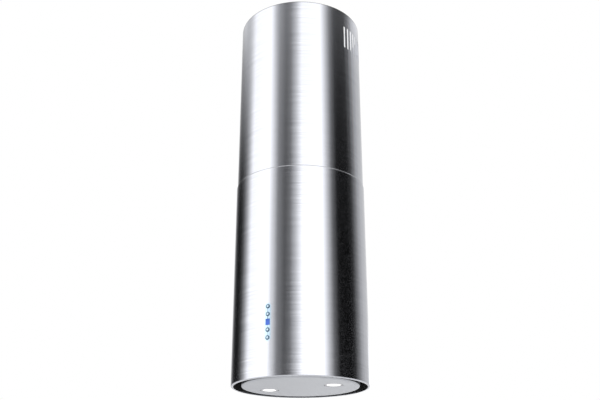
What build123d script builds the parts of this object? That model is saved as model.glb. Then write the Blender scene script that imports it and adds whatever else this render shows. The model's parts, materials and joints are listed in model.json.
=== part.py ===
from build123d import *
import os
from math import cos, radians, sin, sqrt

# Cylindrical island range hood that hangs from a ceiling.
# Frame: millimetres, +Z up, origin at the centre of the ceiling plate's top face.
# The front, with the buttons, faces -Y. Left and right are seen from the front, so left is -X.
# The hood body hangs on four slotted angles and slides up and down on them to set the height.

# ---------------------------------------------------------------- driving dimensions
# round sleeves
lower_sleeve_d = 350.0
lower_sleeve_h = 536.0
upper_exposed_h = 507.5  # how much of the upper sleeve shows above the lower one
sleeve_overlap = 110.0
sleeve_sheet = 0.8
sleeve_gap = 1.2  # air between the two sleeves, on the radius
hem_width = 6.0  # flange turned in round the bottom rim
hem_bend = 2.2
lip_h = 2.0  # top edge of the lower sleeve, rolled in towards the upper one
lip_in = 0.7
ceiling_gap = 1.0  # the sleeve's top edge stays this far below the ceiling

# vent slots near the top of the upper sleeve, one group on each side
vent_count = 8
vent_pitch_deg = 4.9
vent_w = 5.0
vent_l = 70.0
vent_top = 46.5  # from the sleeve's top edge to the slots

# ceiling plate and hanging frame
plate_d = 262.0
plate_t = 3.0
ceiling_hole_d = 9.0
angle_leg = 20.0
angle_t = 2.0
travel_down = 80.0
nest_gap = 0.4  # between the outer and the inner angle of a pair
bolt_spacing = 40.0

# chassis: a black pan that closes the bottom of the body above the panel
deck_rise = 60.0  # underside of the filter deck above the rim
deck_t = 1.5
skirt_t = 1.2
skirt_gap = 0.5
skirt_lift = 4.0  # the skirt's lower edge above the rim

# plenum: the closed drum that holds the blower
plenum_h = 330.0
plenum_sheet = 0.8
lid_t = 2.0
lid_flange = 8.0

# blower
wheel_half_w = 52.0
wheel_offset = 30.0  # wheel axis in front of the hood's axis
blade_depth = 12.0
blade_t = 1.0
blade_count = 36
housing_half_w = 57.0
housing_sheet = 1.5
scroll_gap = 10.0  # wheel to scroll at the tongue
scroll_step = 12.0  # growth of the scroll for each quarter turn
tongue_offset = 28.0
tongue_r = 10.0
seam_flange = 6.0
mouth_rise = 20.0
housing_lift = 20.0
inlet_annulus = 16.0  # open ring between motor and inlet
shaft_r = 4.0
bearing_r = 11.0
bearing_w = 7.0

# outlet
collar_d = 150.0
duct_hole_d = collar_d + 20.0  # in the ceiling plate
collar_sheet = 1.2
collar_h = 50.0
collar_flange = 10.0
collar_flange_t = 2.0
adapter_min_h = 60.0  # least height from the snail's mouth to the collar's neck
flap_t = 1.0
flap_gap = 0.8
damper_pin_r = 2.0
knuckle_r = 3.8

# perimeter panel under the body
perimeter_gap = 20.0
panel_sheet = 1.0
panel_wall_h = 14.0
panel_bend = 4.0
hinge_inset = 20.0  # hinge axis inside the panel's edge
hinge_rise = 14.0  # hinge axis above the rim; low, so that the open panel clears the rim
hinge_spread = 41.0
hinge_pin_r = 2.0
catch_x = 60.0
catch_inset = 30.0

# lamps in the panel
lamp_x = 90.5
lamp_y = 2.5
lamp_bezel_r = 22.6
lamp_groove = 1.1
lamp_lens_r = 16.8
lamp_body_h = 22.0

# grease filter
filter_room = 10.0  # between the filter's edge and the hinge axis
filter_h = 10.0
filter_border = 11.0
latch_travel = 5.0

# push buttons and display, one above the other on the front
button_centre_rise = 130.5  # the display's centre above the rim
button_pitch = 19.0
button_r = 4.1
button_proud = 1.3
button_travel = 1.2
halo_r = 5.5
display_w = 10.6
display_h = 14.2
light_line_w = 1.6
display_frame = 0.5  # light guide's frame round the display
guide_proud = 0.3
cut_gap = 0.1  # between the light guide and the sleeve's holes
tray_half_w = 13.0
tray_depth = 16.0
tray_wall = 1.5
ear_h = 10.0

# fasteners
frame_screw_r = 3.0  # countersunk, plate to hanging frame
frame_nut_flats = 10.0
frame_nut_h = 5.0
bolt_r = 2.5  # height bolts and the screws down into the lid
bolt_flats = 8.0
bolt_head_h = 3.5
bolt_nut_h = 4.0
bolt_flange_r = 5.2
bolt_flange_t = 1.2
bolt_length = 13.0
clip_screw_r = 2.0
clip_screw_head_r = 3.8
thread_past_nut = 2.0
stud_r = 2.0
stud_shoulder_r = 3.5
stud_nut_flats = 7.0
stud_nut_h = 3.2
collar_screw_r = 1.5
collar_screw_head_r = 2.8
collar_nut_flats = 5.5
collar_nut_h = 2.4

# clearances
moving_gap = 0.3
running_gap = 0.06
screw_gap = 0.15

# ---------------------------------------------------------------- derived dimensions
rim = -(lower_sleeve_h + upper_exposed_h)
lower_r = lower_sleeve_d / 2
lower_in = lower_r - sleeve_sheet
upper_r = lower_in - sleeve_gap
upper_in = upper_r - sleeve_sheet
seam_z = -upper_exposed_h
upper_bottom = seam_z - sleeve_overlap

deck_low = rim + deck_rise
deck_top = deck_low + deck_t
lid_low = deck_top + plenum_h
lid_top = lid_low + lid_t
skirt_r = lower_in - skirt_gap

button_z = [rim + button_centre_rise + n * button_pitch for n in (2, 1, -1, -2)]
display_z = rim + button_centre_rise
tray_half_h = 2 * button_pitch + 13.0
tray_top = display_z + tray_half_h
ear_z = (display_z - tray_half_h - ear_h / 2, tray_top + ear_h / 2)

# the body rises until the upper sleeve nears the control tray or the frame nears the lid
foot_stack = plate_t + angle_t + 14.0
bolt_margin = 15.0
slot_margin = 4.0
slot_end = 12.0
sleeve_room = upper_bottom - tray_top - 18.0
frame_ends = foot_stack + bolt_margin + bolt_spacing + slot_margin + slot_end + 10
frame_room = (-lid_top - travel_down - frame_ends) / 2
travel_up = min(sleeve_room, frame_room)

frame_half = (plate_d / 2 - 1.0) / sqrt(2)
inner_half = frame_half - angle_t - nest_gap
inner_leg = angle_leg - angle_t - nest_gap - 1.5
lower_upright_top = -foot_stack - travel_up
bolt_z = [lower_upright_top - bolt_margin, lower_upright_top - bolt_margin - bolt_spacing]
bolt_x = frame_half - angle_leg / 2
slot_high = bolt_z[0] + travel_up + slot_margin
slot_low = bolt_z[1] - travel_down - slot_margin
upper_upright_low = slot_low - slot_end

plenum_r = lower_r - tray_depth - 9.0
plenum_in = plenum_r - plenum_sheet

panel_r = lower_r - hem_width - perimeter_gap
hinge_y = panel_r - hinge_inset
hinge_z = rim + hinge_rise
filter_r = hinge_y - filter_room
filter_low = deck_low - filter_h - 0.5

neck_h = collar_nut_h + thread_past_nut + 1  # straight, beside the tails of the collar's screws

# the wheel is as large as the drum leaves room for, across and upright
drum_reach = sqrt((plenum_in - 5.0) ** 2 - (housing_half_w + housing_sheet) ** 2)
wheel_across = drum_reach - wheel_offset - scroll_gap - scroll_step - housing_sheet
snail_room = plenum_h - collar_flange_t - neck_h - adapter_min_h - housing_lift - housing_sheet - seam_flange
wheel_upright = (snail_room - mouth_rise) / 2 - scroll_gap - scroll_step
wheel_r = min(wheel_across, wheel_upright)
wheel_in = wheel_r - blade_depth
inlet_r = wheel_in - 2.0
motor_r = inlet_r - inlet_annulus
scroll_r = [wheel_r + scroll_gap + scroll_step * (0.5 + n) for n in range(3)]
scroll_down = scroll_r[1] + scroll_step / 2
wheel_y = -wheel_offset
wheel_z = deck_top + housing_lift + scroll_down + housing_sheet + seam_flange
mouth_z = wheel_r + scroll_gap + mouth_rise  # above the wheel axis
mouth_y = (tongue_offset, scroll_step / 2 + scroll_r[2])  # from the wheel axis

collar_r = collar_d / 2
collar_in = collar_r - collar_sheet
damper_z = lid_top + 16.0

corners = {"front_left": (-1, -1), "front_right": (1, -1), "back_left": (-1, 1), "back_right": (1, 1)}
sides = {"left": -1, "right": 1}


# ---------------------------------------------------------------- helpers
def tube(outer, inner, low, high):
    """Upright ring on the hood's axis."""
    return Pos(0, 0, low) * extrude(Circle(outer) - Circle(inner), high - low)


def disc(radius, low, high):
    return Pos(0, 0, low) * extrude(Circle(radius), high - low)


def block(x, y, z):
    """Box between (low, high) pairs."""
    centre = [(a + b) / 2 for a, b in (x, y, z)]
    size = [b - a for a, b in (x, y, z)]
    return Pos(*centre) * Box(*size)


def rod(radius, start, direction, length):
    return extrude(Plane(origin=start, z_dir=direction) * Circle(radius), length)


def pipe(outer, inner, start, direction, length):
    return extrude(Plane(origin=start, z_dir=direction) * (Circle(outer) - Circle(inner)), length)


def hexagon(flats, bore, start, direction, length):
    """Nut or bolt head; a bore of 0 leaves it solid."""
    face = RegularPolygon(flats / 2, 6, major_radius=False)
    if bore:
        face -= Circle(bore)
    return extrude(Plane(origin=start, z_dir=direction) * face, length)


def ring_edges(shape, radius, z):
    """Circular edges of one radius at one height."""
    found = shape.edges().filter_by(GeomType.CIRCLE)
    return [e for e in found if abs(e.radius - radius) < 1e-3 and abs(e.arc_center.Z - z) < 1e-3]


def to_corner(shape, sx, sy):
    """A shape drawn at the back right corner, mirrored to another one."""
    if sx < 0:
        shape = mirror(shape, about=Plane.YZ)
    if sy < 0:
        shape = mirror(shape, about=Plane.XZ)
    return shape


def group(shapes):
    """Separate solids that share one node."""
    return Compound(children=[s for shape in shapes for s in shape.solids()])


# ---------------------------------------------------------------- sleeves
def vent_cutters(side):
    """Upright slots with round ends, spread about one side of the sleeve."""
    top = -ceiling_gap - vent_top
    centre = top - vent_l / 2
    slot = extrude(Plane.YZ * SlotOverall(vent_l, vent_w, rotation=90), upper_r + 5)
    first = -(vent_count - 1) / 2
    turns = [(first + n) * vent_pitch_deg + (0 if side > 0 else 180) for n in range(vent_count)]
    return [Rot(0, 0, turn) * Pos(upper_in - 20, 0, centre) * slot for turn in turns]


def make_upper_sleeve():
    sleeve = tube(upper_r, upper_in, upper_bottom, -ceiling_gap)
    for side in sides.values():
        sleeve -= vent_cutters(side)
    for clip in clip_places():
        sleeve -= clip * rod(clip_screw_r + screw_gap, (upper_in - 5, 0, clip_screw_z), (1, 0, 0), 20)
    return sleeve


def make_lower_sleeve():
    sleeve = tube(lower_r, lower_in, rim, seam_z - lip_h)
    sleeve += tube(lower_r, lower_r - hem_width, rim, rim + sleeve_sheet)
    sleeve = fillet(ring_edges(sleeve, lower_r, rim), hem_bend)
    sleeve = fillet(ring_edges(sleeve, lower_in, rim + sleeve_sheet), hem_bend - sleeve_sheet)
    lip = [
        (lower_in, seam_z - lip_h),
        (lower_r, seam_z - lip_h),
        (lower_r - lip_in, seam_z),
        (lower_in - lip_in, seam_z),
    ]
    sleeve += revolve(Plane.XZ * make_face(Polyline(*lip, close=True)), Axis.Z)
    return sleeve - control_opening()


# ---------------------------------------------------------------- ceiling plate and frame
clip_angles = (62.0, 118.0)  # at the back, either side of the middle
clip_half_w = 10.0
clip_screw_z = -14.0
clip_tail = 8.0  # strap below its screw
clip_out = sqrt(upper_in**2 - clip_half_w**2)
clip_foot_r = 108.0
clip_foot_hole = clip_foot_r + 8.0


def clip_places():
    return [Rot(0, 0, angle) for angle in clip_angles]


def ceiling_hole_places():
    radius = (plate_d / 2 + duct_hole_d / 2) / 2
    return [Rot(0, 0, 90 * n) * Pos(radius, 0, 0) for n in range(4)]


def make_ceiling_plate():
    plate = tube(plate_d / 2, duct_hole_d / 2, -plate_t, 0)
    for place in ceiling_hole_places():
        plate -= place * disc(ceiling_hole_d / 2, -plate_t - 1, 1)
    foot = frame_half - angle_leg / 2
    for sx, sy in corners.values():
        small = frame_screw_r + screw_gap
        plate -= Pos(sx * foot, sy * foot, -plate_t / 2) * Cone(small, small + plate_t, plate_t)
    for place in clip_places():
        plate -= place * Pos(clip_foot_hole, 0, 0) * disc(clip_screw_r + screw_gap, -plate_t - 1, 1)
    return plate


def angle_profile(half, leg):
    """L section with its outer corner at (half, half), opening towards the axis."""
    outline = [
        (half, half),
        (half - leg, half),
        (half - leg, half - angle_t),
        (half - angle_t, half - angle_t),
        (half - angle_t, half - leg),
        (half, half - leg),
    ]
    return make_face(Polyline(*outline, close=True))


def make_upper_upright():
    """Outer angle under the ceiling plate, with a long slot that the height bolts ride in."""
    length = -plate_t - upper_upright_low
    upright = Pos(0, 0, upper_upright_low) * extrude(angle_profile(frame_half, angle_leg), length)
    inside = (frame_half - angle_leg, frame_half - angle_t)
    upright += block(inside, inside, (-plate_t - angle_t, -plate_t))
    foot = frame_half - angle_leg / 2
    upright -= Pos(foot, foot, 0) * disc(frame_screw_r + screw_gap, -plate_t - angle_t - 1, -plate_t + 1)
    slot_l = slot_high - slot_low + 2 * bolt_r
    slot = extrude(Plane.XZ * SlotOverall(slot_l, 2 * (bolt_r + moving_gap), rotation=90), 20, both=True)
    return upright - Pos(bolt_x, frame_half, (slot_high + slot_low) / 2) * slot


def make_lower_upright():
    """Inner angle that stands on the plenum lid."""
    upright = Pos(0, 0, lid_top) * extrude(angle_profile(inner_half, inner_leg), lower_upright_top - lid_top)
    inside = (inner_half - inner_leg, inner_half - angle_t)
    upright += block(inside, inside, (lid_top, lid_top + angle_t))
    hole = disc(bolt_r + screw_gap, lid_top - 1, lid_top + angle_t + 1)
    upright -= Pos(lid_screw_xy(), lid_screw_xy(), 0) * hole
    for z in bolt_z:
        upright -= rod(bolt_r + screw_gap, (bolt_x, frame_half + 5, z), (0, -1, 0), 20)
    return upright


def lid_screw_xy():
    return inner_half - inner_leg / 2 - 1.0


def frame_screws():
    """Countersunk screws through the plate, each with its nut under the angle's foot."""
    foot = frame_half - angle_leg / 2
    nut_top = -plate_t - angle_t
    head = Pos(foot, foot, -plate_t / 2) * Cone(frame_screw_r, frame_screw_r + plate_t, plate_t)
    shank = Pos(foot, foot, 0) * disc(frame_screw_r, nut_top - frame_nut_h - thread_past_nut, -plate_t)
    nut = hexagon(frame_nut_flats, frame_screw_r, (foot, foot, nut_top - frame_nut_h), (0, 0, 1), frame_nut_h)
    return [to_corner(part, sx, sy) for sx, sy in corners.values() for part in (head + shank, nut)]


def make_height_bolts():
    """Flanged bolts through the outer angles' slots, with their nuts on the inner angles."""
    parts = []
    for z in bolt_z:
        face = frame_half + moving_gap
        bolt = rod(bolt_flange_r, (bolt_x, face, z), (0, 1, 0), bolt_flange_t)
        bolt += hexagon(bolt_flats, 0, (bolt_x, face + bolt_flange_t, z), (0, 1, 0), bolt_head_h)
        bolt += rod(bolt_r, (bolt_x, face, z), (0, -1, 0), bolt_length)
        nut = hexagon(bolt_flats, bolt_r, (bolt_x, inner_half - angle_t, z), (0, -1, 0), bolt_nut_h)
        parts += [to_corner(part, sx, sy) for sx, sy in corners.values() for part in (bolt, nut)]
    return group(parts)


def foot_screws():
    """Screws from the inner angles' feet down through the lid, each with its nut below."""
    spot = lid_screw_xy()
    screw = Pos(spot, spot, 0) * disc(bolt_r, lid_low - bolt_nut_h - thread_past_nut, lid_top + angle_t)
    screw += hexagon(bolt_flats, 0, (spot, spot, lid_top + angle_t), (0, 0, 1), bolt_head_h)
    nut = hexagon(bolt_flats, bolt_r, (spot, spot, lid_low - bolt_nut_h), (0, 0, 1), bolt_nut_h)
    return [to_corner(part, sx, sy) for sx, sy in corners.values() for part in (screw, nut)]


def make_sleeve_clips():
    """Straps from the ceiling plate that carry the upper sleeve."""
    low = -plate_t - angle_t
    half = (-clip_half_w, clip_half_w)
    strap = block((clip_foot_r, clip_out), half, (low, -plate_t))
    strap += block((clip_out - angle_t, clip_out), half, (clip_screw_z - clip_tail, low))
    strap -= Pos(clip_foot_hole, 0, 0) * disc(clip_screw_r + screw_gap, low - 1, 0)
    strap -= rod(clip_screw_r + screw_gap, (clip_out - 5, 0, clip_screw_z), (1, 0, 0), 20)
    return group(place * strap for place in clip_places())


def clip_screws():
    """Two screws hold each strap: one up into the plate, one in through the sleeve."""
    low = -plate_t - angle_t
    head_h = 2.2
    up = disc(clip_screw_r, low, -plate_t / 10) + disc(clip_screw_head_r, low - head_h, low)
    through = rod(clip_screw_r, (clip_out - 5, 0, clip_screw_z), (1, 0, 0), upper_r - clip_out + 5)
    through += rod(clip_screw_head_r, (upper_r, 0, clip_screw_z), (1, 0, 0), 1.0)
    return [place * part for place in clip_places() for part in (Pos(clip_foot_hole, 0, 0) * up, through)]


# ---------------------------------------------------------------- chassis and plenum
skirt_stud_rise = 30.0
skirt_stud_angles = (45.0, 135.0, 225.0, 315.0)
magnet_h = 6.0
magnet_half_w = 8.0
magnet_half_d = 4.5
hook_x = (12.0, 30.0)
hook_t = 1.5
hook_reach = 6.0
strike_t = 1.5
strike_half_w = 12.0
strike_from_filter = 7.5
ear_t = 2.0  # each ear of the hinge's clevis
ear_half_gap = 3.0
hinge_eye_r = 5.0
bracket_y = (hinge_y - 13.0, hinge_y - 6.0)
post_half_w = 9.0
guide_back = 2.6  # depth of the light guide's back face behind the sleeve's outside


def make_chassis():
    """Welded pan: deck with the filter opening, skirt, brackets, filter hooks and latch strike."""
    deck = tube(skirt_r - skirt_t, filter_r - filter_border, deck_low, deck_top)
    skirt = tube(skirt_r, skirt_r - skirt_t, rim + skirt_lift, deck_top)
    for angle in skirt_stud_angles:
        start = (skirt_r - 8, 0, rim + skirt_stud_rise)
        skirt -= Rot(0, 0, angle) * rod(stud_r + screw_gap, start, (1, 0, 0), 20)
    parts = [deck, skirt, latch_strike()]
    for side in sides.values():
        parts += [filter_hook(side), hinge_bracket(side * hinge_spread), catch_post(side * catch_x)]
    return group(parts)


def filter_hook(side):
    """Hook at the back of the deck that the filter's rim rests on."""
    across = sorted(side * x for x in hook_x)
    edge = sqrt(filter_r**2 - hook_x[1] ** 2)
    back = (filter_r + 0.5, filter_r + 0.5 + hook_t)
    hook = block(across, back, (filter_low - hook_t, deck_low))
    return hook + block(across, (edge - hook_reach, back[1]), (filter_low - hook_t, filter_low))


def latch_strike():
    """Angle in front of the filter that its latch hooks over."""
    y = -filter_r - strike_from_filter
    z = latch_z() - moving_gap - strike_t
    half = (-strike_half_w, strike_half_w)
    strike = block(half, (y - strike_t, y), (z, deck_low))
    return strike + block(half, (y, y + 5), (z, z + strike_t))


def hinge_bracket(x):
    """Clevis under the deck; its ears stand forward of the pin, so the panel's wall can swing past."""
    outside = ear_half_gap + ear_t
    bracket = block((x - outside, x + outside), bracket_y, (deck_low - ear_t, deck_low))
    low = hinge_z - hinge_eye_r
    for ear in (x - outside, x + ear_half_gap):
        bracket += block((ear, ear + ear_t), bracket_y, (low, deck_low))
        bracket += block((ear, ear + ear_t), (bracket_y[0], hinge_y), (low, hinge_z + hinge_eye_r))
        bracket += rod(hinge_eye_r, (ear, hinge_y, hinge_z), (1, 0, 0), ear_t)
    return bracket - rod(hinge_pin_r, (x - 10, hinge_y, hinge_z), (1, 0, 0), 20)


def catch_y():
    return -panel_r + catch_inset


def catch_post(x):
    """Bracket that hangs from the deck and carries one magnet."""
    back = catch_y() - magnet_half_d - strike_t
    seat = catch_z() + magnet_h
    across = (x - post_half_w, x + post_half_w)
    post = block(across, (back, back + strike_t), (seat, deck_low))
    return post + block(across, (back, catch_y() + magnet_half_d + 0.5), (seat, seat + strike_t))


def weld_stud(length, shoulder, nut_at):
    """Stud with its nut, drawn along X from the inside of the sleeve towards the axis."""
    face = sqrt(lower_in**2 - stud_r**2)
    stud = rod(stud_r, (face, 0, 0), (-1, 0, 0), length)
    if shoulder:
        base = sqrt(lower_in**2 - stud_shoulder_r**2)
        stud += rod(stud_shoulder_r, (base, 0, 0), (-1, 0, 0), base - lower_r + shoulder)
    return [stud, hexagon(stud_nut_flats, stud_r, (nut_at, 0, 0), (-1, 0, 0), stud_nut_h)]


def make_sleeve_studs():
    """Studs welded inside the lower sleeve: four for the chassis skirt, two for the control tray."""
    parts = []
    nut_corner = stud_nut_flats / sqrt(3)
    skirt_seat = sqrt((skirt_r - skirt_t) ** 2 - nut_corner**2)
    for angle in skirt_stud_angles:
        place = Pos(0, 0, rim + skirt_stud_rise) * Rot(0, 0, angle)
        parts += [place * part for part in weld_stud(6.5, 0, skirt_seat)]
    for z in ear_z:
        place = Pos(0, 0, z) * Rot(0, 0, -90)
        parts += [place * part for part in weld_stud(7.5, guide_back, lower_r - guide_back - tray_wall)]
    return group(parts)


def make_plenum_shell():
    """Drum, with the ring that carries its lid and the ring that stands on the deck."""
    drum = tube(plenum_r, plenum_in, deck_top, lid_low)
    lid_ring = tube(plenum_in, plenum_in - lid_flange, lid_low - plenum_sheet, lid_low)
    foot_ring = tube(plenum_r + lid_flange, plenum_r, deck_top, deck_top + plenum_sheet)
    return group([drum, lid_ring, foot_ring])


def make_plenum_lid():
    lid = tube(plenum_r, collar_in, lid_low, lid_top)
    hole = disc(bolt_r + screw_gap, lid_low - 1, lid_top + 1)
    for sx, sy in corners.values():
        lid -= Pos(sx * lid_screw_xy(), sy * lid_screw_xy(), 0) * hole
    lid -= lead_hole()
    return lid - collar_screw_holes()


def collar_screw_places():
    """Six screws on the middle of the collar's flange."""
    radius = collar_r + collar_flange / 2
    return [Rot(0, 0, 60 * n + 30) * Pos(radius, 0, 0) for n in range(6)]


def collar_screw_holes():
    hole = disc(collar_screw_r + screw_gap, lid_low - 10, lid_top + 10)
    return [place * hole for place in collar_screw_places()]


def collar_screws():
    """Screws that clamp the collar's flange, the lid and the adapter's flange together."""
    head = lid_top + collar_flange_t
    nut_top = lid_low - collar_flange_t
    tail = nut_top - collar_nut_h - thread_past_nut
    screw = disc(collar_screw_r, tail, head) + disc(collar_screw_head_r, head, head + 2)
    nut = hexagon(collar_nut_flats, collar_screw_r, (0, 0, nut_top - collar_nut_h), (0, 0, 1), collar_nut_h)
    return [place * part for place in collar_screw_places() for part in (screw, nut)]


# ---------------------------------------------------------------- blower
def scroll_face(grow):
    """Inside of the snail housing in the Y-Z plane about the wheel axis, grown outwards by grow."""
    half = scroll_step / 2
    nose = tongue_r - grow
    wall_y = tongue_offset - grow
    top = scroll_r[0] - half + grow
    right = half + scroll_r[2] + grow
    outline = [
        Line((wall_y, mouth_z), (wall_y, top + nose)),
        CenterArc((wall_y - nose, top + nose), nose, 270, 90),
        Line((wall_y - nose, top), (-half, top)),
        CenterArc((-half, -half), scroll_r[0] + grow, 90, 90),
        CenterArc((half, -half), scroll_r[1] + grow, 180, 90),
        CenterArc((half, half), scroll_r[2] + grow, 270, 90),
        Line((right, half), (right, mouth_z)),
        Line((right, mouth_z), (wall_y, mouth_z)),
    ]
    return Plane.YZ * make_face(Curve() + outline)


def make_volute(side):
    """Half of the snail housing, with the seam flange and a short lip round its inlet."""
    place = Pos(0, wheel_y, wheel_z)
    wall_x = housing_half_w + housing_sheet
    half = extrude(scroll_face(housing_sheet), wall_x)
    half += extrude(scroll_face(housing_sheet + seam_flange), 2)
    half -= extrude(scroll_face(0), housing_half_w)
    half -= block((-1, housing_half_w), mouth_y, (mouth_z - 5, mouth_z + 5))
    half -= rod(inlet_r, (housing_half_w - 1, 0, 0), (1, 0, 0), 10)
    half += pipe(inlet_r + housing_sheet, inlet_r, (housing_half_w, 0, 0), (1, 0, 0), 5)
    if side < 0:
        half = mirror(half, about=Plane.YZ)
    return place * half


motor_out = housing_half_w + 9.0  # outer end of the motor, left of the wheel's middle
motor_in = 8.0
motor_wall = 3.0
cap_t = 3.0
bush_ring_r = inlet_r + 13.0
bush_r = 7.0
arm_t = 2.0
arm_x = housing_half_w + housing_sheet + 5.5
bush_angles = (90.0, 210.0, 330.0)
bush_screw_r = 2.2
arm_half_w = 6.0
band_t = 3.0
band_w = 9.0


def at_wheel(shape):
    return Pos(0, wheel_y, wheel_z) * shape


def make_motor_case():
    """Can of the motor, closed on the outer side, with its bearing seat."""
    can = pipe(motor_r, motor_r - motor_wall, (-motor_out, 0, 0), (1, 0, 0), motor_out - motor_in - cap_t)
    can += rod(motor_r, (-motor_out, 0, 0), (1, 0, 0), cap_t)
    can += pipe(bearing_r + 3, bearing_r, (-motor_out + cap_t, 0, 0), (1, 0, 0), bearing_w)
    return at_wheel(can)


def make_motor_cap():
    """Inner end of the motor, with a bearing seat and the hole for the shaft."""
    cap = pipe(motor_r, shaft_r + 2, (-motor_in - cap_t, 0, 0), (1, 0, 0), cap_t)
    cap += pipe(bearing_r + 3, bearing_r, (-motor_in - cap_t - bearing_w, 0, 0), (1, 0, 0), bearing_w)
    return at_wheel(cap)


def make_motor_bearings():
    starts = (-motor_out + cap_t, -motor_in - cap_t - bearing_w)
    rings = [pipe(bearing_r, shaft_r + running_gap, (x, 0, 0), (1, 0, 0), bearing_w) for x in starts]
    return group(at_wheel(ring) for ring in rings)


rotor_r = (motor_r - motor_wall + shaft_r) / 2
rotor_ends = (-motor_out + cap_t + bearing_w + 4, -motor_in - cap_t - bearing_w - 4)


def make_motor_stator():
    length = rotor_ends[1] - rotor_ends[0]
    ring = pipe(motor_r - motor_wall, rotor_r + 0.5, (rotor_ends[0], 0, 0), (1, 0, 0), length)
    return at_wheel(ring)


def make_motor_rotor():
    """Rotor and shaft; the shaft ends in the wheel's hub."""
    shaft = rod(shaft_r, (-motor_out + cap_t + 0.5, 0, 0), (1, 0, 0), motor_out - cap_t - 0.5 + hub_out)
    core = rod(rotor_r, (rotor_ends[0], 0, 0), (1, 0, 0), rotor_ends[1] - rotor_ends[0])
    return at_wheel(shaft + core)


hub_out = 18.0
hub_back = 4.0
hub_r = 14.0
wheel_disc_t = 1.5
wheel_ring_t = 2.0
blade_turn = -25.0  # degrees, forward curved
blade_inset = 0.8  # blade edges inside the rings


def make_wheel_blades():
    """Two rows of blades, one each side of the wheel's middle."""
    blade = Pos(wheel_r - blade_depth / 2 - blade_inset / 2, 0)
    blade *= Rectangle(blade_depth - 2 * blade_inset, blade_t, rotation=blade_turn)
    length = wheel_half_w - wheel_ring_t - wheel_disc_t / 2
    blades = []
    for start in (wheel_disc_t / 2, -wheel_disc_t / 2 - length):
        solid = extrude(Plane.YZ.offset(start) * blade, length)
        blades += [Rot(360 / blade_count * n, 0, 0) * solid for n in range(blade_count)]
    return group(at_wheel(solid) for solid in blades)


def make_wheel_rings():
    """End rings and middle ring that the blades are fixed in."""
    spans = [
        (-wheel_half_w, wheel_ring_t),
        (-wheel_disc_t / 2, wheel_disc_t),
        (wheel_half_w - wheel_ring_t, wheel_ring_t),
    ]
    return group(at_wheel(pipe(wheel_r, wheel_in, (x, 0, 0), (1, 0, 0), width)) for x, width in spans)


def make_wheel_hub():
    """Disc that carries the middle ring, with the hub on the motor's shaft."""
    hub = pipe(wheel_in, shaft_r, (-wheel_disc_t / 2, 0, 0), (1, 0, 0), wheel_disc_t)
    hub += pipe(hub_r, shaft_r, (-hub_back, 0, 0), (1, 0, 0), hub_out)
    return at_wheel(hub)


def make_motor_bracket():
    """Band round the motor with three arms that reach over the left inlet."""
    band = pipe(motor_r + band_t, motor_r, (-motor_out, 0, 0), (1, 0, 0), band_w)
    arm = block((-arm_x - arm_t, -arm_x), (-arm_half_w, arm_half_w), (motor_r + 1, bush_ring_r + bush_r))
    arm -= Pos(0, 0, bush_ring_r) * rod(bush_screw_r, (-arm_x - arm_t - 1, 0, 0), (1, 0, 0), 10)
    for angle in bush_angles:
        band += Rot(angle - 90, 0, 0) * arm
    return at_wheel(band)


def make_motor_bushes():
    """Rubber bushes between the bracket's arms and the snail housing."""
    length = arm_x - housing_half_w - housing_sheet
    bush = Pos(0, 0, bush_ring_r) * pipe(bush_r, bush_screw_r, (-arm_x, 0, 0), (1, 0, 0), length)
    return group(at_wheel(Rot(angle - 90, 0, 0) * bush) for angle in bush_angles)


def make_outlet_adapter():
    """Duct piece from the snail's square mouth to the round collar above."""
    low = wheel_z + mouth_z
    high = lid_low - collar_flange_t
    centre_y = wheel_y + (mouth_y[0] + mouth_y[1]) / 2
    span = mouth_y[1] - mouth_y[0]

    def body(grow):
        mouth = Pos(0, centre_y, low) * Rectangle(2 * (housing_half_w + grow), span + 2 * grow)
        ring = Pos(0, 0, high - neck_h) * Circle(collar_in + grow)
        return loft([mouth.face(), ring.face()]) + disc(collar_in + grow, high - neck_h, lid_low)

    adapter = body(housing_sheet) - body(0)
    adapter += tube(collar_r + collar_flange, collar_in, high, lid_low)
    return adapter - collar_screw_holes()


# ---------------------------------------------------------------- outlet collar and damper
knuckles = {"front": ((-58, -40), (40, 58)), "back": ((-38, -4), (4, 38))}


def make_outlet_collar():
    """Spigot for the duct, with a seat ring under the damper flaps."""
    collar = tube(collar_r, collar_in, lid_top, lid_top + collar_h)
    collar += tube(collar_r + collar_flange, collar_in, lid_top, lid_top + collar_flange_t)
    seat_top = damper_z - flap_t / 2 - moving_gap
    collar += tube(collar_in, collar_in - 3.5, seat_top - 1.5, seat_top)
    collar -= rod(damper_pin_r, (-collar_r - 1, 0, damper_z), (1, 0, 0), 2 * collar_r + 2)
    return collar - collar_screw_holes()


def make_damper_pin():
    return rod(damper_pin_r, (-collar_r, 0, damper_z), (1, 0, 0), 2 * collar_r)


def make_flap(which):
    """Half-moon flap with its knuckles on the damper pin."""
    side = -1 if which == "front" else 1
    leaf = disc(collar_in - flap_gap, damper_z - flap_t / 2, damper_z + flap_t / 2)
    edge = knuckle_r + moving_gap + 0.4
    keep = sorted((side * edge, side * collar_r))
    leaf &= block((-collar_r, collar_r), keep, (damper_z - 5, damper_z + 5))
    for low, high in knuckles[which]:
        leaf += rod(knuckle_r, (low, 0, damper_z), (1, 0, 0), high - low)
        tongue = sorted((0, side * (edge + 1)))
        leaf += block((low, high), tongue, (damper_z - flap_t / 2, damper_z + flap_t / 2))
    return leaf - rod(damper_pin_r + running_gap, (-collar_r, 0, damper_z), (1, 0, 0), 2 * collar_r)


# ---------------------------------------------------------------- electrics on the lid
box_depth_x = 38.0
box_half_y = 42.0
box_h = 38.0
box_wall = 1.5
gland_r = 8.0
gland_bore_r = 4.5
gland_rise = 20.0
lead_hole_r = 6.0
capacitor_r = 17.0
capacitor_h = 56.0
terminal_count = 4
terminal_pitch = 8.0


def box_x():
    """Outer face of the power box, kept inside the drum's edge."""
    return min(sqrt(plenum_r**2 - box_half_y**2) - 6.0, collar_r + collar_flange + 4.0 + box_depth_x)


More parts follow.
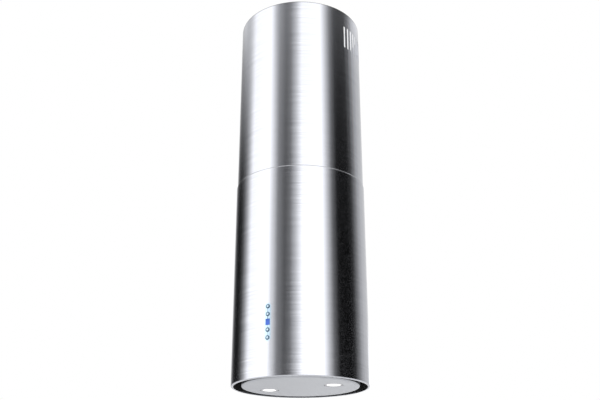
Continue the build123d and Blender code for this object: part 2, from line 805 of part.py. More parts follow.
def lead_hole():
    """Cutter for the motor's leads, through the lid and the floor of the box."""
    return Pos(box_x() - 12, box_half_y - 18, 0) * disc(lead_hole_r, lid_low - 1, lid_top + 5)


def make_power_box():
    """Steel box for the terminals and the control supply, open at the top."""
    x = (box_x() - box_depth_x, box_x())
    y = (-box_half_y, box_half_y)
    box = block(x, y, (lid_top, lid_top + box_h))
    inside = [(a + box_wall, b - box_wall) for a, b in (x, y)]
    box -= block(*inside, (lid_top + box_wall, lid_top + box_h + 1))
    x, z = gland_place()
    box -= rod(gland_r, (x, -box_half_y - 1, z), (0, 1, 0), 5)
    return box - lead_hole()


def make_power_box_cover():
    x = (box_x() - box_depth_x, box_x())
    y = (-box_half_y, box_half_y)
    cover = block((x[0] - 1, x[1] + 1), (y[0] - 1, y[1] + 1), (lid_top + box_h, lid_top + box_h + 1.2))
    return fillet(cover.edges().filter_by(Axis.Z), 3)


def gland_place():
    """X and Z of the gland's axis, on the front of the box."""
    return box_x() - box_depth_x / 2, lid_top + gland_rise


def make_cable_gland():
    """Gland for the supply lead, with the nut inside the box."""
    x, z = gland_place()
    gland = pipe(gland_r, gland_bore_r, (x, -box_half_y + 6, z), (0, -1, 0), 6)
    gland += hexagon(22, gland_bore_r, (x, -box_half_y, z), (0, -1, 0), 6)
    gland += pipe(gland_r + 1, gland_bore_r, (x, -box_half_y - 6, z), (0, -1, 0), 8)
    nut = hexagon(20, gland_r, (x, -box_half_y + box_wall, z), (0, 1, 0), 4)
    return group([gland, nut])


def make_terminal_block():
    x = box_x() - box_depth_x + box_wall + 3
    low = lid_top + box_wall
    depth, height = 14.0, 14.0
    length = terminal_count * terminal_pitch
    body = block((x, x + depth), (-length / 2 - 6, length / 2 - 6), (low, low + height))
    first = -length / 2 - 6 + terminal_pitch / 2
    for n in range(terminal_count):
        body -= Pos(x + depth / 2, first + terminal_pitch * n, 0) * disc(2.2, low + 6, low + height + 1)
    return body


def make_capacitor():
    """Motor capacitor standing on the lid."""
    centre = -(collar_r + collar_flange + 4.0 + capacitor_r)
    can = Pos(centre, 0, 0) * disc(capacitor_r, lid_top, lid_top + capacitor_h)
    return fillet(can.edges().group_by(Axis.Z)[-1], 2)


# ---------------------------------------------------------------- push buttons and display
def front(depth):
    """Y of a plane that lies depth behind the sleeve's frontmost line."""
    return -lower_r + depth


def control_opening():
    """Cutter for the holes and the thin line that join the buttons and the display."""
    start = front(-5)
    cut = block(
        (-light_line_w / 2, light_line_w / 2),
        (start, front(10)),
        (button_z[-1], button_z[0]),
    )
    cut += block(
        (-display_w / 2 - display_frame - 0.2, display_w / 2 + display_frame + 0.2),
        (start, front(10)),
        (display_z - display_h / 2 - display_frame - 0.2, display_z + display_h / 2 + display_frame + 0.2),
    )
    for z in button_z:
        cut += rod(halo_r + cut_gap, (0, start, z), (0, 1, 0), 15)
    return cut


def make_light_guide():
    """One clear moulding: a plate behind the sleeve, a ring round each button and the line between."""
    back = front(guide_back)
    edge = (display_z - tray_half_h, tray_top)
    guide = block((-tray_half_w, tray_half_w), (front(guide_back - guide_t), back), edge)
    half = light_line_w / 2 - cut_gap
    guide += block((-half, half), (front(0), back), (button_z[-1], button_z[0]))
    for z in button_z:
        guide += rod(halo_r, (0, front(-guide_proud), z), (0, 1, 0), guide_back + guide_proud)
    frame_w, frame_h = display_w / 2 + display_frame, display_h / 2 + display_frame
    guide += block((-frame_w, frame_w), (front(-0.2), back), (display_z - frame_h, display_z + frame_h))
    guide -= block(
        (-display_w / 2, display_w / 2),
        (front(-5), front(10)),
        (display_z - display_h / 2, display_z + display_h / 2),
    )
    for z in button_z:
        guide -= rod(button_r + moving_gap, (0, front(-5), z), (0, 1, 0), 15)
    return guide


def make_display_window():
    return block(
        (-display_w / 2 + 0.1, display_w / 2 - 0.1),
        (front(0.1), front(window_back)),
        (display_z - display_h / 2 + 0.1, display_z + display_h / 2 - 0.1),
    )


guide_t = 1.2
button_stem_end = 7.5
stem_r = 1.8
board_t = 1.6
board_half_w = 10.5
switch_half_w = 3.0
ear_half_w = 6.0
switch_gap = 1.5  # room for the switch's own plunger
switch_t = 3.8
window_back = 3.6
board_front = button_stem_end + switch_gap + switch_t


def make_button(z):
    """Domed cap on a stem; the collar behind the light guide keeps it in."""
    collar_front = guide_back + moving_gap
    cap = rod(button_r, (0, front(-button_proud), z), (0, 1, 0), button_proud + collar_front + 0.1)
    cap = fillet(cap.edges().group_by(Axis.Y)[0], 0.9)
    collar = rod(button_r + 1.6, (0, front(collar_front), z), (0, 1, 0), 1.0)
    stem = rod(stem_r, (0, front(collar_front), z), (0, 1, 0), button_stem_end - collar_front)
    return cap + collar + stem


def make_control_tray():
    """Tray behind the front of the sleeve that carries the board."""
    z = (display_z - tray_half_h, tray_top)
    tray = block((-tray_half_w, tray_half_w), (front(guide_back), front(guide_back + tray_depth)), z)
    tray -= block(
        (-tray_half_w + tray_wall, tray_half_w - tray_wall),
        (front(0), front(guide_back + tray_depth - tray_wall)),
        (z[0] + tray_wall, z[1] - tray_wall),
    )
    for ends in ((z[0] - ear_h, z[0]), (z[1], z[1] + ear_h)):
        tray += block((-ear_half_w, ear_half_w), (front(guide_back), front(guide_back + tray_wall)), ends)
    for ear in ear_z:
        tray -= rod(stud_r + screw_gap, (0, front(0), ear), (0, 1, 0), 10)
    for spot in (z[0] + 3.5, z[1] - 3.5):
        depth = (front(board_front + board_t), front(guide_back + tray_depth - tray_wall))
        tray += block((-tray_half_w, tray_half_w), depth, (spot - 3.5, spot + 3.5))
    return tray


def make_control_board():
    """Board with four small switches behind the buttons and the display's lit cell."""
    z = (display_z - tray_half_h + 2, tray_top - 2)
    board = block((-board_half_w, board_half_w), (front(board_front), front(board_front + board_t)), z)
    half = (-switch_half_w, switch_half_w)
    for z in button_z:
        switch = block(half, (front(board_front - switch_t), front(board_front)), (z + half[0], z + half[1]))
        board += fillet(switch.edges().filter_by(Axis.Y), 0.6)
    cell = (display_z - display_h / 2 + 1, display_z + display_h / 2 - 1)
    return board + block((-5, 5), (front(window_back), front(board_front)), cell)


# ---------------------------------------------------------------- grease filter
filter_sheet = 1.2
latch_half_w = 9.0
latch_t = 2.0
tab_drop = 12.0
tab_t = 1.5


def latch_z():
    """Underside of the latch slide."""
    return filter_low - latch_t - 1.6


def make_filter_frame():
    """Channel ring of the filter with the guide of its latch."""
    high = filter_low + filter_h
    frame = tube(filter_r, filter_r - filter_border, filter_low, high)
    channel = (filter_low + filter_sheet, high - filter_sheet)
    frame -= tube(filter_r - 2.5, filter_r - filter_border - 1, *channel)
    guide_y = (-filter_r + 3, -filter_r + 10)
    for side in sides.values():
        inner, outer = sorted((side * (latch_half_w + moving_gap), side * (latch_half_w + 2)))
        frame += block((inner, outer), guide_y, (latch_z() - 1.8, filter_low))
    return frame + block((-latch_half_w - 2, latch_half_w + 2), guide_y, (latch_z() - 1.8, latch_z() - 0.5))


def make_filter_mesh():
    return disc(filter_r - 2.7, filter_low + filter_sheet + 0.1, filter_low + filter_h - filter_sheet - 0.1)


def make_filter_latch():
    """Sliding bolt that hooks over the strike, with a finger tab."""
    tip = -filter_r - 4.0
    tab_y = -filter_r + 20.5
    half = (-latch_half_w, latch_half_w)
    slide = block(half, (tip, tab_y + tab_t), (latch_z(), latch_z() + latch_t))
    slide += block(half, (tab_y, tab_y + tab_t), (latch_z() - tab_drop, latch_z()))
    return fillet(slide.edges().filter_by(Axis.Y).group_by(Axis.Z)[0], 2)


# ---------------------------------------------------------------- perimeter panel
arm_w = 4.0


def lamp_places():
    return {side: (sign * lamp_x, lamp_y) for side, sign in sides.items()}


def make_perimeter_panel():
    """Round pan that hangs below the filter and leaves the suction gap all round."""
    pan = disc(panel_r, rim, rim + panel_sheet)
    pan += tube(panel_r, panel_r - panel_sheet, rim, rim + panel_wall_h)
    pan = fillet(ring_edges(pan, panel_r, rim), panel_bend)
    pan = fillet(ring_edges(pan, panel_r - panel_sheet, rim + panel_sheet), panel_bend - panel_sheet)
    for x, y in lamp_places().values():
        pan -= Pos(x, y, 0) * disc(lamp_bezel_r + lamp_groove, rim - 1, rim + panel_sheet + 1)
    floor = rim + panel_sheet
    for side in sides.values():
        x = side * hinge_spread
        along = (hinge_y - hinge_eye_r, hinge_y + hinge_eye_r)
        arm = block((x - arm_w / 2, x + arm_w / 2), along, (floor, hinge_z))
        arm += rod(hinge_eye_r, (x - arm_w / 2, hinge_y, hinge_z), (1, 0, 0), arm_w)
        arm += block((x - 8, x + 8), (hinge_y - 9, hinge_y + 9), (floor, floor + strike_t))
        pan += arm - rod(hinge_pin_r + running_gap, (x - 5, hinge_y, hinge_z), (1, 0, 0), 10)
        across = (side * catch_x - post_half_w, side * catch_x + post_half_w)
        top = catch_z() - 0.5
        back = catch_y() + magnet_half_d + 0.5
        pan += block(across, (back, back + strike_t), (floor, top))
        pan += block(across, (catch_y() - magnet_half_d - strike_t, back + strike_t), (top - strike_t, top))
    return pan


def catch_z():
    """Underside of the magnets."""
    return rim + panel_wall_h + 4.0


def make_hinge_pins():
    pins = []
    for side in sides.values():
        x = side * hinge_spread
        end = ear_half_gap + ear_t + 1.5
        pin = rod(hinge_pin_r, (x - end, hinge_y, hinge_z), (1, 0, 0), 2 * end)
        pin += rod(hinge_pin_r + 1.6, (x - end, hinge_y, hinge_z), (1, 0, 0), 1.5)
        pins.append(pin)
    return group(pins)


def make_catch_magnets():
    magnets = []
    for side in sides.values():
        across = (side * catch_x - magnet_half_w, side * catch_x + magnet_half_w)
        along = (catch_y() - magnet_half_d, catch_y() + magnet_half_d)
        magnets.append(block(across, along, (catch_z(), catch_z() + magnet_h)))
    return group(magnets)


# ---------------------------------------------------------------- lamps
lamp_flange_r = 27.0
lamp_face_lift = 0.3  # the lens sits this far inside its bezel
lens_t = 2.0
lamp_flange_t = 1.5
fin_pitch = 4.0
fin_gap = 2.0
fin_depth = 3.0


def make_lamp_housing(x, y):
    """Turned housing: bezel in the panel's hole, flange on the panel, finned body above."""
    floor = rim + panel_sheet
    housing = disc(lamp_bezel_r, rim, floor) + disc(lamp_flange_r, floor, floor + lamp_flange_t)
    body_r = lamp_bezel_r - 1.5
    housing += disc(body_r, floor + lamp_flange_t, floor + lamp_body_h)
    for n in range(4):
        low = floor + lamp_flange_t + fin_pitch * (n + 1)
        housing -= tube(body_r + 1, body_r - fin_depth, low, low + fin_gap)
    housing -= disc(lamp_lens_r + 0.1, rim - 1, rim + lamp_face_lift + lens_t)
    return Pos(x, y, 0) * housing


def make_lamp_lens(x, y):
    low = rim + lamp_face_lift
    return Pos(x, y, 0) * disc(lamp_lens_r, low, low + lens_t)


def make_lamp_clips():
    """Spring clips that press each lamp's flange onto the panel."""
    clips = []
    floor = rim + panel_sheet
    for x, y in lamp_places().values():
        for side in (-1, 1):
            reach = lamp_flange_r + 9
            low = floor + lamp_flange_t
            pair = block((reach - 8, reach), (-5, 5), (floor, low))
            pair += block((lamp_flange_r - 3, reach), (-5, 5), (low, low + 1))
            clips.append(Pos(x, y, 0) * Rot(0, 0, 90 * side) * pair)
    return group(clips)


# ---------------------------------------------------------------- build
def all_nodes():
    nodes = {
        "ceiling_plate": make_ceiling_plate(),
        "upper_sleeve": make_upper_sleeve(),
        "sleeve_clips": make_sleeve_clips(),
        "ceiling_screws": group(frame_screws() + clip_screws()),
        "lower_sleeve": make_lower_sleeve(),
        "height_bolts": make_height_bolts(),
        "lid_screws": group(foot_screws() + collar_screws()),
        "chassis": make_chassis(),
        "sleeve_studs": make_sleeve_studs(),
        "plenum_shell": make_plenum_shell(),
        "plenum_lid": make_plenum_lid(),
        "motor_case": make_motor_case(),
        "motor_cap": make_motor_cap(),
        "motor_bearings": make_motor_bearings(),
        "motor_stator": make_motor_stator(),
        "motor_rotor": make_motor_rotor(),
        "motor_bracket": make_motor_bracket(),
        "motor_bushes": make_motor_bushes(),
        "wheel_blades": make_wheel_blades(),
        "wheel_rings": make_wheel_rings(),
        "wheel_hub": make_wheel_hub(),
        "outlet_adapter": make_outlet_adapter(),
        "outlet_collar": make_outlet_collar(),
        "damper_pin": make_damper_pin(),
        "power_box": make_power_box(),
        "power_box_cover": make_power_box_cover(),
        "cable_gland": make_cable_gland(),
        "terminal_block": make_terminal_block(),
        "capacitor": make_capacitor(),
        "light_guide": make_light_guide(),
        "display_window": make_display_window(),
        "control_tray": make_control_tray(),
        "control_board": make_control_board(),
        "filter_frame": make_filter_frame(),
        "filter_mesh": make_filter_mesh(),
        "filter_latch": make_filter_latch(),
        "hinge_pins": make_hinge_pins(),
        "catch_magnets": make_catch_magnets(),
        "perimeter_panel": make_perimeter_panel(),
        "lamp_clips": make_lamp_clips(),
    }
    upper_upright = make_upper_upright()
    lower_upright = make_lower_upright()
    for name, (sx, sy) in corners.items():
        nodes["upper_upright_" + name] = to_corner(upper_upright, sx, sy)
        nodes["lower_upright_" + name] = to_corner(lower_upright, sx, sy)
    for side, sign in sides.items():
        nodes["volute_" + side] = make_volute(sign)
        nodes["lamp_housing_" + side] = make_lamp_housing(*lamp_places()[side])
        nodes["lamp_lens_" + side] = make_lamp_lens(*lamp_places()[side])
    for which in knuckles:
        nodes["damper_flap_" + which] = make_flap(which)
    return nodes


button_names = ("button_power", "button_plus", "button_minus", "button_light")


def main():
    nodes = all_nodes()
    for name, z in zip(button_names, button_z):
        nodes[name] = make_button(z)
    os.makedirs("parts", exist_ok=True)
    for name, shape in nodes.items():
        export_step(shape, "parts/" + name + ".step")
    print(len(nodes), "nodes; body rises", round(travel_up, 1), "and drops", travel_down)


main()
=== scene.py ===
import json
from math import cos, pi, radians, sin

import bmesh
import bpy
from mathutils import Euler, Matrix, Vector


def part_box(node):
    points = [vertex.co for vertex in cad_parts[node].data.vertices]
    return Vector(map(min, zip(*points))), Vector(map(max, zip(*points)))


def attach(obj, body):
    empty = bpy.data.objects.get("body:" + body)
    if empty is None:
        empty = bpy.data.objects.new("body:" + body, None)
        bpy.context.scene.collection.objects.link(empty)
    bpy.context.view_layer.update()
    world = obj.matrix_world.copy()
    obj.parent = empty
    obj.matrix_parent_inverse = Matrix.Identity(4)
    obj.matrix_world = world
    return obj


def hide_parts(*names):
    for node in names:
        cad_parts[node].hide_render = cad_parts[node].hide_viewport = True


# Island range hood: looks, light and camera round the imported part. Everything is in metres.

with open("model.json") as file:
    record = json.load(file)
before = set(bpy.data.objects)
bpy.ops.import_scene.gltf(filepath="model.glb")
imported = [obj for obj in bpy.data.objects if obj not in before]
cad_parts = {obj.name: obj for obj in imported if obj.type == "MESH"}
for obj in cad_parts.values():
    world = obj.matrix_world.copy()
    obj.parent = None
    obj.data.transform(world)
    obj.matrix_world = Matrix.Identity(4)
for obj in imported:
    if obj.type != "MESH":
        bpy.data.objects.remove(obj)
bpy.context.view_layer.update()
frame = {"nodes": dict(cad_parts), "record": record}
nodes = frame["nodes"]
print("part loaded:", len(nodes), "nodes")


def middle(node):
    low, high = (Vector(corner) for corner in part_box(node))
    return (low + high) / 2


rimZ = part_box("lower_sleeve")[0][2]
columnTop = middle("button_power")
columnBottom = middle("button_light")

shot = {
    "azimuth": 26.7,  # degrees from the front, towards the hood's right
    "distance": 2.008,  # from the hood's axis
    "belowRim": 0.3189,
    "heading": 26.74,
    "tilt": 22.43,  # degrees up
    "lens": 47.26,
    "sensor": 36.0,
    "reach": 60.0,
}


# below the rim, in front and to the right, looking up
def placeCamera():
    data = bpy.data.cameras.new("shotCamera")
    data.lens = shot["lens"]
    data.sensor_width = shot["sensor"]
    data.clip_end = shot["reach"]
    camera = bpy.data.objects.new("shotCamera", data)
    turn = radians(shot["azimuth"])
    away = shot["distance"]
    camera.location = (away * sin(turn), -away * cos(turn), rimZ - shot["belowRim"])
    camera.rotation_euler = Euler((radians(90 + shot["tilt"]), 0, radians(shot["heading"])), "XYZ")
    bpy.context.collection.objects.link(camera)
    bpy.context.scene.camera = camera


placeCamera()
print("camera placed")


def addNode(tree, kind, **settings):
    node = tree.nodes.new(kind)
    for key, value in settings.items():
        if key == "inputs":
            for name, content in value.items():
                node.inputs[name].default_value = content
        else:
            setattr(node, key, value)
    return node


def plug(tree, source, target):
    tree.links.new(source, target)


# a number goes on the socket, anything else is linked to it
def fill(tree, socket, value):
    if isinstance(value, (int, float)):
        socket.default_value = value
    elif isinstance(value, tuple):
        socket.default_value = (*value, 1)
    else:
        plug(tree, value, socket)


def mathNode(tree, operation, *values):
    node = addNode(tree, "ShaderNodeMath", operation=operation)
    for socket, value in zip(node.inputs, values):
        fill(tree, socket, value)
    return node.outputs[0]


def vectorNode(tree, operation, *values):
    node = addNode(tree, "ShaderNodeVectorMath", operation=operation)
    for socket, value in zip(node.inputs, values):
        plug(tree, value, socket)
    return node


def smoothStep(tree, value, low, high):
    limits = {"From Min": low, "From Max": high}
    node = addNode(tree, "ShaderNodeMapRange", interpolation_type="SMOOTHSTEP", inputs=limits)
    plug(tree, value, node.inputs["Value"])
    return node.outputs["Result"]


def remap(tree, value, low, high):
    node = addNode(tree, "ShaderNodeMapRange", inputs={"To Min": low, "To Max": high})
    plug(tree, value, node.inputs["Value"])
    return node.outputs["Result"]


def rampNode(tree, value, stops):
    node = addNode(tree, "ShaderNodeValToRGB")
    marks = node.color_ramp.elements
    while len(marks) < len(stops):
        marks.new(1.0)
    for mark, (place, colour) in zip(marks, stops):
        mark.position = place
        mark.color = (*colour, 1) if isinstance(colour, tuple) else (colour, colour, colour, 1)
    plug(tree, value, node.inputs["Fac"])
    return node.outputs["Color"]


def mixColours(tree, factor, first, second, blend="MIX"):
    node = addNode(tree, "ShaderNodeMix", data_type="RGBA", blend_type=blend)
    for name, value in (("Factor", factor), ("A", first), ("B", second)):
        fill(tree, [s for s in node.inputs if s.name == name and s.enabled][0], value)
    return [s for s in node.outputs if s.enabled][0]


def splitPlace(tree, output):
    parts = addNode(tree, "ShaderNodeSeparateXYZ")
    plug(tree, addNode(tree, "ShaderNodeTexCoord").outputs[output], parts.inputs[0])
    return parts.outputs


studio = {
    "floorDrop": 1.55,  # from the rim down to the floor
    "floorSize": 14.0,
    "floorColour": (0.80, 0.80, 0.80),
    "floorRoughness": 0.9,
    # brightness round the hood at three heights, by angle from the camera, positive to its right
    "bands": [
        (-180, 0.75, 0.85, 0.85), (-172, 0.58, 0.68, 0.85), (-161, 0.34, 0.50, 0.85),
        (-149, 0.060, 0.42, 0.90), (-138, 0.010, 0.50, 0.90), (-127, 0.016, 0.58, 0.70),
        (-118, 0.090, 0.62, 0.68), (-108, 0.40, 0.78, 0.80), (-96, 1.24, 1.25, 1.25),
        (-58, 1.44, 1.34, 1.34), (-49, 0.82, 0.77, 0.62), (-40, 0.24, 0.26, 0.42),
        (-27, 0.085, 0.12, 0.22), (-18, 0.18, 0.20, 0.28), (-8, 0.64, 0.65, 0.60),
        (2, 1.34, 1.20, 1.25), (38, 1.44, 1.34, 1.34), (48, 0.66, 0.66, 0.70),
        (57, 0.15, 0.20, 0.28), (67, 0.004, 0.025, 0.12), (78, 0.001, 0.010, 0.10),
        (92, 0.002, 0.030, 0.11), (102, 0.025, 0.085, 0.20), (113, 0.20, 0.28, 0.50),
        (126, 0.48, 0.46, 0.95), (142, 0.60, 0.55, 1.05), (155, 0.64, 0.62, 1.05),
        (168, 0.85, 0.80, 1.05), (180, 0.85, 0.85, 0.85),
    ],
    "climb": (22, 38),  # degrees up between which the low bands give way to the high ones
    "topClimb": (31.5, 37.8),  # and the high ones to the top ones
    "overhead": 1.15,
    "overheadClimb": (44, 58),
    "behind": (105, 140),  # degrees round where the white overhead starts to reach lower
    "behindLower": 13,
    "lowWhite": 1.6,  # soft white low down behind, on the right
    "lowWhiteUp": (14, 9.5),
    "lowWhiteRound": (146, 166),
    "under": 0.6,
    "underClimb": (-25, -15),
}


# pale floor, white surround, and soft panels of light and shade that only the hood sees
def buildSurround():
    world = bpy.data.worlds.new("studioSurround")
    world.use_nodes = True
    bpy.context.scene.world = world
    tree = world.node_tree
    tree.nodes.clear()
    output = addNode(tree, "ShaderNodeOutputWorld")
    east, north, up = splitPlace(tree, "Generated")
    turn = mathNode(tree, "ARCTAN2", east, mathNode(tree, "MULTIPLY", north, -1.0))
    turn = mathNode(tree, "SUBTRACT", turn, radians(shot["azimuth"]))
    turn = mathNode(tree, "WRAP", turn, pi, -pi)
    climb = mathNode(tree, "ARCSINE", up)

    def between(value, limits):
        return smoothStep(tree, value, *[radians(limit) for limit in studio[limits]])

    share = mathNode(tree, "MULTIPLY_ADD", turn, 0.5 / pi, 0.5)
    angles, *columns = zip(*studio["bands"])
    places = [(angle + 180) / 360 for angle in angles]
    low, high, top = [rampNode(tree, share, list(zip(places, column))) for column in columns]
    bands = mixColours(tree, between(climb, "climb"), low, high)
    bands = mixColours(tree, between(climb, "topClimb"), bands, top)
    white = mathNode(tree, "MULTIPLY", between(climb, "lowWhiteUp"), between(turn, "lowWhiteRound"))
    bands = mixColours(tree, white, bands, (studio["lowWhite"],) * 3)
    behind = between(mathNode(tree, "ABSOLUTE", turn), "behind")
    higher = mathNode(tree, "MULTIPLY_ADD", behind, radians(studio["behindLower"]), climb)
    sky = mixColours(tree, between(higher, "overheadClimb"), bands, (studio["overhead"],) * 3)
    seen = mixColours(tree, between(climb, "underClimb"), (studio["under"],) * 3, sky)

    lit = addNode(tree, "ShaderNodeBackground")
    plug(tree, seen, lit.inputs["Color"])
    plain = addNode(tree, "ShaderNodeBackground", inputs={"Color": (1, 1, 1, 1), "Strength": 1.0})
    pick = addNode(tree, "ShaderNodeMixShader")
    plug(tree, addNode(tree, "ShaderNodeLightPath").outputs["Is Camera Ray"], pick.inputs[0])
    plug(tree, lit.outputs[0], pick.inputs[1])
    plug(tree, plain.outputs[0], pick.inputs[2])
    plug(tree, pick.outputs[0], output.inputs["Surface"])


def layFloor():
    disc = bpy.data.meshes.new("studioFloor")
    builder = bmesh.new()
    bmesh.ops.create_circle(builder, cap_ends=True, segments=96, radius=studio["floorSize"])
    builder.to_mesh(disc)
    builder.free()
    floor = bpy.data.objects.new("studioFloor", disc)
    floor.location = (0, 0, rimZ - studio["floorDrop"])
    bpy.context.collection.objects.link(floor)
    paint = bpy.data.materials.new("paleFloor")
    paint.use_nodes = True
    shader = paint.node_tree.nodes["Principled BSDF"]
    shader.inputs["Base Color"].default_value = (*studio["floorColour"], 1)
    shader.inputs["Roughness"].default_value = studio["floorRoughness"]
    shader.inputs["Specular IOR Level"].default_value = 0.0
    disc.materials.append(paint)


buildSurround()
layFloor()
bpy.context.scene.view_settings.view_transform = "Standard"
print("studio built")


def newFinish(name, colour, metallic=0.0, roughness=0.5):
    finish = bpy.data.materials.new(name)
    finish.use_nodes = True
    tree = finish.node_tree
    shader = tree.nodes["Principled BSDF"]
    shader.inputs["Base Color"].default_value = (*colour, 1)
    shader.inputs["Metallic"].default_value = metallic
    shader.inputs["Roughness"].default_value = roughness
    return finish, tree, shader


def objectPlace(tree, scale=(1, 1, 1)):
    mapping = addNode(tree, "ShaderNodeMapping", inputs={"Scale": scale})
    plug(tree, addNode(tree, "ShaderNodeTexCoord").outputs["Object"], mapping.inputs["Vector"])
    return mapping.outputs["Vector"]


def grain(tree, scale, stretch=(1, 1, 1), detail=3.0, roughness=0.6):
    noise = addNode(tree, "ShaderNodeTexNoise", inputs={"Scale": scale, "Detail": detail, "Roughness": roughness})
    plug(tree, objectPlace(tree, stretch), noise.inputs["Vector"])
    return noise.outputs["Fac"]


def addBump(tree, shader, height, strength, distance):
    bump = addNode(tree, "ShaderNodeBump", inputs={"Strength": strength, "Distance": distance})
    plug(tree, height, bump.inputs["Height"])
    plug(tree, bump.outputs["Normal"], shader.inputs["Normal"])


brushed = {
    "dark": (0.715, 0.730, 0.790),
    "pale": (0.830, 0.845, 0.905),
    "spread": (0.34, 0.66),
    "roughness": 0.155,
    "roughnessSpread": 0.06,
    "anisotropic": 0.9,
    "streaks": (1.6, 1.6, 420.0),  # per metre across, along and up
    "hairlines": (7, 7, 1500.0),
    "hairlineShare": 0.25,
    "sway": 0.10,  # how far a streak turns the light sideways
    "glow": (0.58, 0.79, 0.95),
    "glowShare": 0.85,
    "glowReach": 0.0118,  # how far the buttons' light spills on the steel
    "glowFull": 0.005,
    "frontSide": -0.1,  # the buttons' light falls only in front of this
    "edges": {"upper_sleeve": (0.0022, 0.16), "lower_sleeve": (0.0020, 0.22)},  # painted shade: a darker band under each top edge
    "edgeShadeShare": 0.75,
}


# strength of the pale blue light painted on the steel round the column of buttons
def glowShare(tree, place):
    east, north, up = place
    fromMiddle = mathNode(tree, "SUBTRACT", up, (columnTop.z + columnBottom.z) / 2)
    half = (columnTop.z - columnBottom.z) / 2
    beyond = mathNode(tree, "SUBTRACT", mathNode(tree, "ABSOLUTE", fromMiddle), half)
    beyond = mathNode(tree, "POWER", mathNode(tree, "MAXIMUM", beyond, 0.0), 2.0)
    aside = mathNode(tree, "POWER", mathNode(tree, "ABSOLUTE", east), 2.0)
    away = mathNode(tree, "SQRT", mathNode(tree, "ADD", aside, beyond))
    near = smoothStep(tree, away, brushed["glowReach"], brushed["glowFull"])
    near = mathNode(tree, "MULTIPLY", near, mathNode(tree, "LESS_THAN", north, brushed["frontSide"]))
    return mathNode(tree, "MULTIPLY", near, brushed["glowShare"])


def brushedSteel(name, sleeve):
    finish, tree, shader = newFinish(name, brushed["pale"], 1.0, brushed["roughness"])
    shader.inputs["Anisotropic"].default_value = brushed["anisotropic"]
    shader.inputs["Anisotropic Rotation"].default_value = 0.25
    tangent = addNode(tree, "ShaderNodeTangent", direction_type="RADIAL", axis="Z")
    plug(tree, tangent.outputs[0], shader.inputs["Tangent"])
    hairlines = grain(tree, 1.0, brushed["hairlines"])
    streaks = grain(tree, 1.0, brushed["streaks"], 5.0, 0.72)
    share = brushed["hairlineShare"]
    both = mathNode(tree, "MULTIPLY_ADD", hairlines, share, mathNode(tree, "MULTIPLY", streaks, 1 - share))
    low, high = [brushed["roughness"] + side * brushed["roughnessSpread"] for side in (-1, 1)]
    plug(tree, remap(tree, both, low, high), shader.inputs["Roughness"])
    steel = rampNode(tree, both, list(zip(brushed["spread"], (brushed["dark"], brushed["pale"]))))

    # each streak leans a little to one side
    lean = mathNode(tree, "MULTIPLY", mathNode(tree, "SUBTRACT", both, 0.5), brushed["sway"])
    sideways = vectorNode(tree, "SCALE", tangent.outputs[0])
    plug(tree, lean, sideways.inputs["Scale"])
    facing = addNode(tree, "ShaderNodeNewGeometry").outputs["Normal"]
    turned = vectorNode(tree, "ADD", facing, sideways.outputs[0])
    leaning = vectorNode(tree, "NORMALIZE", turned.outputs[0])
    plug(tree, leaning.outputs[0], shader.inputs["Normal"])

    place = splitPlace(tree, "Object")
    # painted light: the steel's colour turns pale blue near the buttons
    glowPaintedSteel = mixColours(tree, glowShare(tree, place), steel, brushed["glow"])
    # painted shade: the steel's colour darkens towards the shade tone in a band just under the sleeve's top edge
    depth, shadeTone = brushed["edges"][sleeve]
    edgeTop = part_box(sleeve)[1][2]
    edge = smoothStep(tree, place[2], edgeTop - depth, edgeTop - depth / 2)
    edge = mathNode(tree, "MULTIPLY", edge, brushed["edgeShadeShare"])
    plug(tree, mixColours(tree, edge, glowPaintedSteel, (shadeTone, shadeTone, shadeTone)), shader.inputs["Base Color"])
    return finish


# finishes of one fine grain: it carries the colour, and the gloss and bump where they are given
grained = {
    "black_steel": {
        "name": "blackPowderCoat", "grain": 1400.0, "detail": 2.0, "spread": (0.35, 0.7),
        "dark": (0.008, 0.008, 0.008), "pale": (0.018, 0.018, 0.018), "gloss": (0.55, 0.72), "bump": (0.25, 0.0002),
    },
    "zinc_hardware": {
        "name": "zincPlate", "metallic": 1.0, "grain": 500.0, "spread": (0.35, 0.65),
        "dark": (0.50, 0.50, 0.47), "pale": (0.68, 0.68, 0.65), "gloss": (0.24, 0.40),
    },
    "filter_aluminium": {
        "name": "filterAluminium", "metallic": 1.0, "grain": 260.0, "spread": (0.3, 0.7),
        "dark": (0.58, 0.59, 0.60), "pale": (0.80, 0.81, 0.82), "gloss": (0.28, 0.44), "bump": (0.08, 0.0003),
    },
    "lamp_aluminium": {
        "name": "turnedAluminium", "metallic": 1.0, "grain": 1.0, "stretch": (40, 40, 1500), "spread": (0.3, 0.7),
        "dark": (0.52, 0.52, 0.54), "pale": (0.70, 0.70, 0.72), "gloss": (0.24, 0.38),
    },
    "black_plastic": {
        "name": "mouldedBlack", "grain": 1800.0, "detail": 2.0, "spread": (0.35, 0.7),
        "dark": (0.014, 0.014, 0.015), "pale": (0.030, 0.030, 0.032), "gloss": (0.42, 0.60), "bump": (0.2, 0.0002),
    },
    "motor_paint": {
        "name": "motorEnamel", "grain": 240.0, "spread": (0.35, 0.7),
        "dark": (0.035, 0.035, 0.040), "pale": (0.065, 0.065, 0.07), "gloss": (0.28, 0.45), "bump": (0.08, 0.0003),
    },
    "rubber": {
        "name": "bushRubber", "grain": 600.0, "spread": (0.3, 0.7),
        "dark": (0.010, 0.010, 0.010), "pale": (0.028, 0.028, 0.028), "gloss": (0.65, 0.85),
    },
    "magnet_ferrite": {
        "name": "ferrite", "metallic": 0.3, "roughness": 0.55, "grain": 1200.0, "spread": (0.35, 0.65),
        "dark": (0.025, 0.025, 0.025), "pale": (0.065, 0.065, 0.065), "bump": (0.3, 0.0002),
    },
    "terminal_plastic": {
        "name": "terminalGrey", "roughness": 0.45, "grain": 900.0, "spread": (0.3, 0.7),
        "dark": (0.56, 0.56, 0.54), "pale": (0.66, 0.66, 0.64),
    },
}


